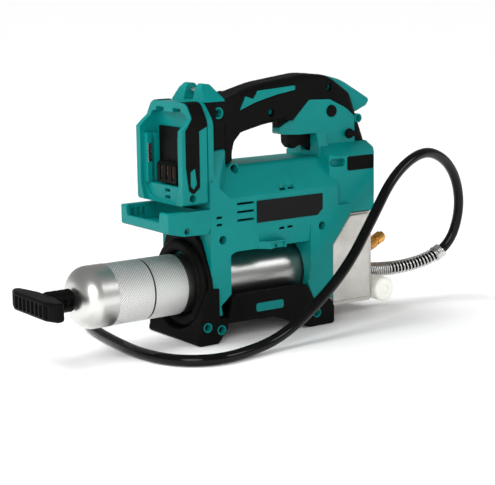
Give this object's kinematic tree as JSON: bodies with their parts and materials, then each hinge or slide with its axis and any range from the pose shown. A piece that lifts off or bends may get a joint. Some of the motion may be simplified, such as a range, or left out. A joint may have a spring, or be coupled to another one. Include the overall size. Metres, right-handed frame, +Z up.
{
  "type": "cordless grease gun",
  "caption": "Battery-powered grease gun: teal two-part housing with a loop grip, horizontal chrome barrel with a follower rod, metal pump head and a flexible hose with a coupler.",
  "frame": {"origin": "floor level under the feet, at the middle of the tool's length and width without its hose", "axes": "+X along the barrel towards the pump head, +Z up, -Y the side with the speed selector and the filler cap"},
  "size_m": [0.5178, 0.2514, 0.2507],
  "materials": {
    "teal_plastic": "satin teal glass-filled nylon",
    "black_rubber": "soft black overmould, fine grain",
    "black_plastic": "black moulded nylon",
    "gloss_black": "gloss black",
    "hose_rubber": "gloss black high-pressure hose",
    "chrome_tube": "bright chrome, knurled satin sleeve",
    "cast_head": "blasted cast aluminium",
    "zinc_steel": "zinc-plated steel",
    "dark_steel": "blackened steel",
    "spring_steel": "spring steel",
    "hard_steel": "ground hardened steel",
    "brass": "turned brass",
    "ivory_plastic": "ivory moulded cap",
    "copper_windings": "motor iron and copper windings",
    "orange_wire": "insulated wire",
    "board_green": "circuit board",
    "pale_plastic": "pale moulded parts"
  },
  "bodies": {
    "body": {"housing_right": "teal_plastic", "housing_left": "teal_plastic", "grip_cover": "black_rubber", "grip_inlays": "teal_plastic", "battery_frame": "teal_plastic", "battery_frame_pads": "black_rubber", "battery_guard": "teal_plastic", "terminal_block": "black_plastic", "terminal_blades": "brass", "rail_clips": "zinc_steel", "strap_pin": "zinc_steel", "rear_foot": "black_rubber", "collar_ring": "black_rubber", "base_cradle": "black_rubber", "base_badges": "teal_plastic", "foot_bosses": "teal_plastic", "housing_screws": "dark_steel", "pump_head": "cast_head", "name_plates": "gloss_black", "front_pads": "black_rubber", "motor_stator": "dark_steel", "motor_bearings": "hard_steel", "gear_frame": "cast_head", "switch_unit": "black_plastic", "control_board": "board_green", "battery_leads": "orange_wire", "outlet_fitting": "zinc_steel", "check_ball": "hard_steel", "check_spring": "spring_steel", "filler_port": "zinc_steel", "trigger_pin": "zinc_steel", "hose": "hose_rubber", "spring_guard": "spring_steel", "hose_ferrule": "zinc_steel", "grease_coupler": "zinc_steel"},
    "trigger_lever": {"trigger": "black_plastic"},
    "lock_slide": {"lock_button": "black_plastic"},
    "selector": {"speed_selector": "black_plastic"},
    "bleeder": {"bleeder_valve": "brass"},
    "filler_cap": {"port_cap": "ivory_plastic"},
    "barrel": {"barrel_tube": "chrome_tube", "end_cap": "chrome_tube"},
    "follower": {"follower_rod": "hard_steel", "tee_handle": "black_plastic", "follower_plate": "zinc_steel", "follower_seal": "black_rubber", "follower_spring": "spring_steel"},
    "rotor": {"motor_shaft": "hard_steel", "motor_core": "copper_windings", "cooling_fan": "pale_plastic"},
    "idler": {"idler_gear": "hard_steel"},
    "crank": {"crank_gear": "hard_steel"},
    "pump_plunger": {"plunger": "hard_steel"}
  },
  "joints": [
    {"name": "trigger_pull", "type": "hinge", "parent": "body", "child": "trigger_lever", "pos_m": [0.12, 0, 0.191], "axis": [0, 1, 0], "range_deg": [0, 9], "stiffness_Nm_per_rad": 0.4, "springref_deg": -11.46},
    {"name": "lock_press", "type": "slide", "parent": "body", "child": "lock_slide", "axis": [0, 1, 0], "range_m": [0, 0.004], "stiffness_N_per_m": 200, "springref_m": -0.002},
    {"name": "selector_turn", "type": "hinge", "parent": "body", "child": "selector", "pos_m": [0.152, -0.018, 0.1875], "axis": [0, -1, 0], "range_deg": [0, 90]},
    {"name": "bleeder_turn", "type": "hinge", "parent": "body", "child": "bleeder", "pos_m": [0.17, -0.005, 0.056], "axis": [0.9063, 0, 0.4226], "range_deg": [0, 360]},
    {"name": "cap_pull", "type": "slide", "parent": "body", "child": "filler_cap", "axis": [0, -1, 0], "range_m": [0, 0.025]},
    {"name": "barrel_out", "type": "slide", "parent": "body", "child": "barrel", "axis": [-1, 0, 0], "range_m": [0, 0.18]},
    {"name": "rod_pull", "type": "slide", "parent": "barrel", "child": "follower", "axis": [-1, 0, 0], "range_m": [0, 0.13], "stiffness_N_per_m": 150, "springref_m": -0.05, "deforming": ["follower_spring"]},
    {"name": "rotor_spin", "type": "hinge", "parent": "body", "child": "rotor", "pos_m": [0, 0, 0.139], "axis": [1, 0, 0], "continuous": true},
    {"name": "idler_spin", "type": "hinge", "parent": "body", "child": "idler", "pos_m": [0, 0, 0.113], "axis": [1, 0, 0], "continuous": true},
    {"name": "crank_spin", "type": "hinge", "parent": "body", "child": "crank", "pos_m": [0, 0, 0.139], "axis": [1, 0, 0], "continuous": true},
    {"name": "plunger_stroke", "type": "slide", "parent": "body", "child": "pump_plunger", "axis": [0, 0, 1], "range_m": [-0.005, 0.005]}
  ],
  "couplings": [
    {"joint": "idler_spin", "follows": "rotor_spin", "ratio": -0.3},
    {"joint": "crank_spin", "follows": "rotor_spin", "ratio": 0.09}
  ]
}
